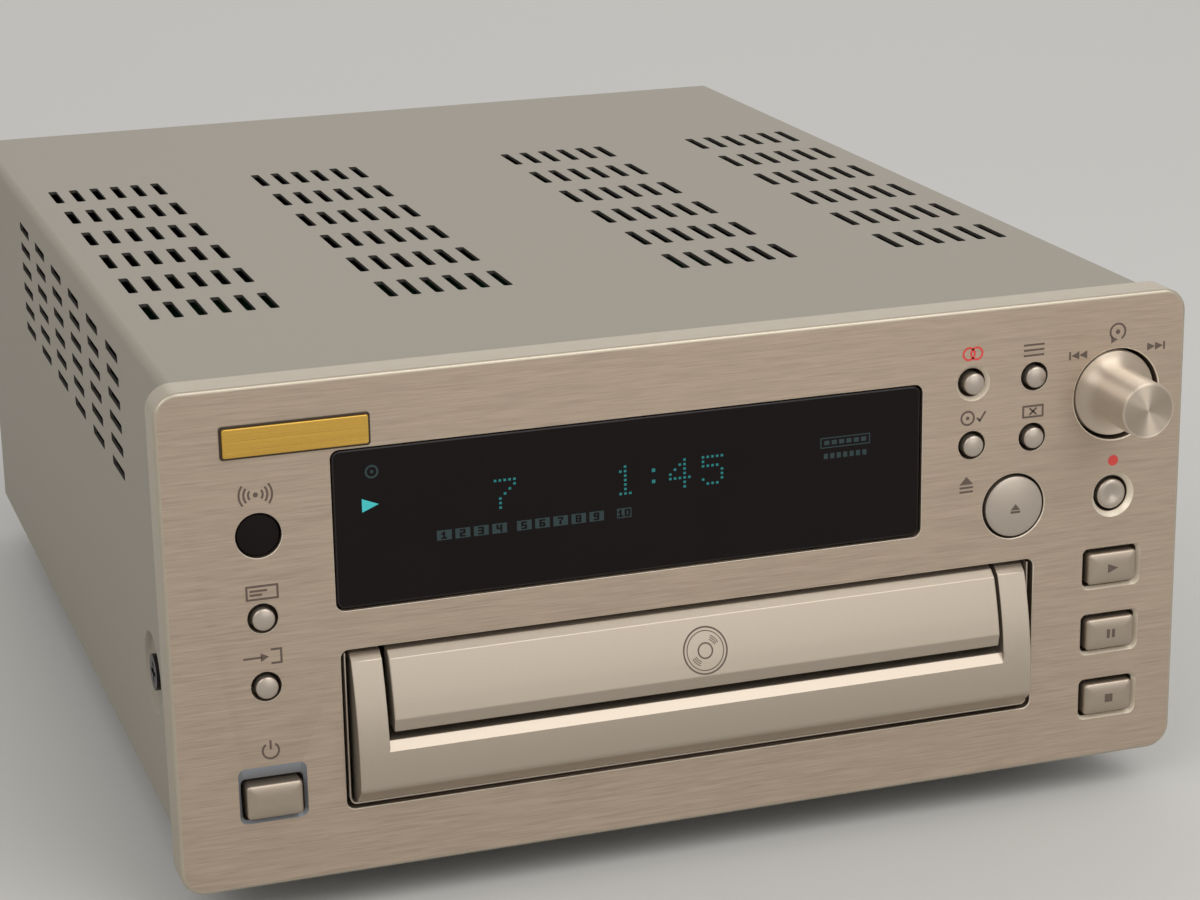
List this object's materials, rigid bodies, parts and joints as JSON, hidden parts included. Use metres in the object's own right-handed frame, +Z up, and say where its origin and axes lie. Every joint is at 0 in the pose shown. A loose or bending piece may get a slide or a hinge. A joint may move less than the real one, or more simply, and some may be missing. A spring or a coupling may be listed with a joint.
{
  "type": "cd recorder",
  "caption": "Mini hi-fi disc recorder deck with a thick aluminium front, display window, motorised disc tray, push buttons, jog knob and a vented sheet-metal case.",
  "frame": {"origin": "on the standing surface, under the middle of the object's outline", "axes": "+X to the viewer's right, +Y from the front panel to the rear, +Z up"},
  "size_m": [0.215, 0.2874, 0.11],
  "materials": {
    "panel_aluminium": "brushed along its width, champagne anodised",
    "pale_plastic": "satin, champagne metallic paint",
    "cover_paint": "satin",
    "button_silver": "satin, silver metallic paint",
    "knob_aluminium": "turned",
    "window_plastic": "gloss, smoked",
    "gold_plate": "satin",
    "black_plastic": "moulded",
    "black_paint": "satin",
    "zinc_steel": "zinc plated",
    "black_rubber": "matte",
    "board_green": "solder mask",
    "part_dark": "moulded",
    "gear_plastic": "moulded",
    "bright_metal": "nickel plated",
    "tube_glass": "smooth",
    "lens_glass": "coated",
    "core_iron": "varnished laminations"
  },
  "bodies": {
    "chassis": {"front_panel": "panel_aluminium", "tray_surround": "pale_plastic", "top_cover": "cover_paint", "display_window": "window_plastic", "sensor_window": "window_plastic", "name_plate": "gold_plate", "front_subframe": "black_plastic", "drive_frame": "black_plastic", "line_jack_block": "black_plastic", "optical_jacks": "black_plastic", "mains_inlet": "black_plastic", "key_switches": "black_plastic", "rear_panel": "black_paint", "cover_screws": "black_paint", "bottom_chassis": "zinc_steel", "board_brackets": "zinc_steel", "clamp_bridge": "zinc_steel", "jog_encoder": "zinc_steel", "loading_motor": "zinc_steel", "feet": "black_rubber", "drive_dampers": "black_rubber", "drive_belt": "black_rubber", "front_board": "board_green", "main_board": "board_green", "power_board": "board_green", "board_parts": "part_dark", "line_jack_sleeves": "bright_metal", "rear_screws": "bright_metal", "internal_screws": "bright_metal", "display_tube": "tube_glass", "power_transformer": "core_iron"},
    "tray": {"disc_tray": "black_plastic", "tray_front": "pale_plastic"},
    "drive_gear": {"drive_gear": "gear_plastic"},
    "belt_wheel": {"belt_wheel": "gear_plastic"},
    "motor_pulley": {"motor_pulley": "gear_plastic"},
    "traverse": {"traverse_frame": "zinc_steel", "sled_rails": "bright_metal", "sled_motor": "zinc_steel", "spindle_motor": "zinc_steel"},
    "turntable": {"turntable": "black_plastic"},
    "clamp_puck": {"clamp_puck": "black_plastic"},
    "sled": {"pickup_sled": "black_plastic", "objective_lens": "lens_glass"},
    "lead_screw": {"lead_screw": "bright_metal"},
    "jog_plunger": {"jog_plunger": "gear_plastic"},
    "jog": {"jog_knob": "knob_aluminium", "jog_shaft": "bright_metal"},
    "power_button": {"power_button": "button_silver"},
    "display_button": {"display_button": "button_silver"},
    "input_button": {"input_button": "button_silver"},
    "sync_button": {"sync_button": "button_silver"},
    "menu_button": {"menu_button": "button_silver"},
    "finalize_button": {"finalize_button": "button_silver"},
    "erase_button": {"erase_button": "button_silver"},
    "open_button": {"open_button": "button_silver"},
    "record_button": {"record_button": "button_silver"},
    "play_button": {"play_button": "button_silver"},
    "pause_button": {"pause_button": "button_silver"},
    "stop_button": {"stop_button": "button_silver"}
  },
  "joints": [
    {"name": "tray_slide", "type": "slide", "parent": "chassis", "child": "tray", "axis": [0, -1, 0], "range_m": [0, 0.13]},
    {"name": "drive_gear_turn", "type": "hinge", "parent": "chassis", "child": "drive_gear", "pos_m": [-0.0496, -0.0991, 0.0342], "axis": [0, 0, 1], "range_deg": [-1, 935]},
    {"name": "belt_wheel_turn", "type": "hinge", "parent": "chassis", "child": "belt_wheel", "pos_m": [-0.03235, -0.0991, 0.0342], "axis": [0, 0, 1], "range_deg": [-2135, 1]},
    {"name": "motor_pulley_turn", "type": "hinge", "parent": "chassis", "child": "motor_pulley", "pos_m": [0.00715, -0.0991, 0.0342], "axis": [0, 0, 1], "range_deg": [-7230, 1]},
    {"name": "traverse_drop", "type": "hinge", "parent": "chassis", "child": "traverse", "pos_m": [0, 0.0279, 0.0282], "axis": [1, 0, 0], "range_deg": [0, 2.7]},
    {"name": "turntable_turn", "type": "hinge", "parent": "traverse", "child": "turntable", "pos_m": [0, -0.0601, 0.0442], "axis": [0, 0, 1], "continuous": true},
    {"name": "clamp_puck_turn", "type": "hinge", "parent": "chassis", "child": "clamp_puck", "pos_m": [0, -0.0601, 0.0542], "axis": [0, 0, 1], "continuous": true},
    {"name": "sled_slide", "type": "slide", "parent": "traverse", "child": "sled", "axis": [0, 1, 0], "range_m": [0, 0.035]},
    {"name": "lead_screw_turn", "type": "hinge", "parent": "traverse", "child": "lead_screw", "pos_m": [0.034, -0.0301, 0.0347], "axis": [0, 1, 0], "range_deg": [-1, 4205]},
    {"name": "jog_push", "type": "slide", "parent": "chassis", "child": "jog_plunger", "axis": [0, 1, 0], "range_m": [0, 0.001], "stiffness_N_per_m": 600, "springref_m": -0.001},
    {"name": "jog_turn", "type": "hinge", "parent": "jog_plunger", "child": "jog", "pos_m": [0.09199, -0.1294, 0.0888], "axis": [0, 1, 0], "continuous": true},
    {"name": "power_press", "type": "slide", "parent": "chassis", "child": "power_button", "axis": [0, 1, 0], "range_m": [0, 0.0012], "stiffness_N_per_m": 400, "springref_m": -0.0015},
    {"name": "display_press", "type": "slide", "parent": "chassis", "child": "display_button", "axis": [0, 1, 0], "range_m": [0, 0.0012], "stiffness_N_per_m": 400, "springref_m": -0.0015},
    {"name": "input_press", "type": "slide", "parent": "chassis", "child": "input_button", "axis": [0, 1, 0], "range_m": [0, 0.0012], "stiffness_N_per_m": 400, "springref_m": -0.0015},
    {"name": "sync_press", "type": "slide", "parent": "chassis", "child": "sync_button", "axis": [0, 1, 0], "range_m": [0, 0.0012], "stiffness_N_per_m": 400, "springref_m": -0.0015},
    {"name": "menu_press", "type": "slide", "parent": "chassis", "child": "menu_button", "axis": [0, 1, 0], "range_m": [0, 0.0012], "stiffness_N_per_m": 400, "springref_m": -0.0015},
    {"name": "finalize_press", "type": "slide", "parent": "chassis", "child": "finalize_button", "axis": [0, 1, 0], "range_m": [0, 0.0012], "stiffness_N_per_m": 400, "springref_m": -0.0015},
    {"name": "erase_press", "type": "slide", "parent": "chassis", "child": "erase_button", "axis": [0, 1, 0], "range_m": [0, 0.0012], "stiffness_N_per_m": 400, "springref_m": -0.0015},
    {"name": "open_press", "type": "slide", "parent": "chassis", "child": "open_button", "axis": [0, 1, 0], "range_m": [0, 0.0012], "stiffness_N_per_m": 400, "springref_m": -0.0015},
    {"name": "record_press", "type": "slide", "parent": "chassis", "child": "record_button", "axis": [0, 1, 0], "range_m": [0, 0.0012], "stiffness_N_per_m": 400, "springref_m": -0.0015},
    {"name": "play_press", "type": "slide", "parent": "chassis", "child": "play_button", "axis": [0, 1, 0], "range_m": [0, 0.0012], "stiffness_N_per_m": 400, "springref_m": -0.0015},
    {"name": "pause_press", "type": "slide", "parent": "chassis", "child": "pause_button", "axis": [0, 1, 0], "range_m": [0, 0.0012], "stiffness_N_per_m": 400, "springref_m": -0.0015},
    {"name": "stop_press", "type": "slide", "parent": "chassis", "child": "stop_button", "axis": [0, 1, 0], "range_m": [0, 0.0012], "stiffness_N_per_m": 400, "springref_m": -0.0015}
  ],
  "couplings": [
    {"joint": "drive_gear_turn", "follows": "tray_slide", "rad_per_m": 125},
    {"joint": "belt_wheel_turn", "follows": "tray_slide", "rad_per_m": -285.71},
    {"joint": "motor_pulley_turn", "follows": "tray_slide", "rad_per_m": -969.39},
    {"joint": "clamp_puck_turn", "follows": "turntable_turn", "ratio": 1},
    {"joint": "lead_screw_turn", "follows": "sled_slide", "rad_per_m": 2094.4}
  ]
}
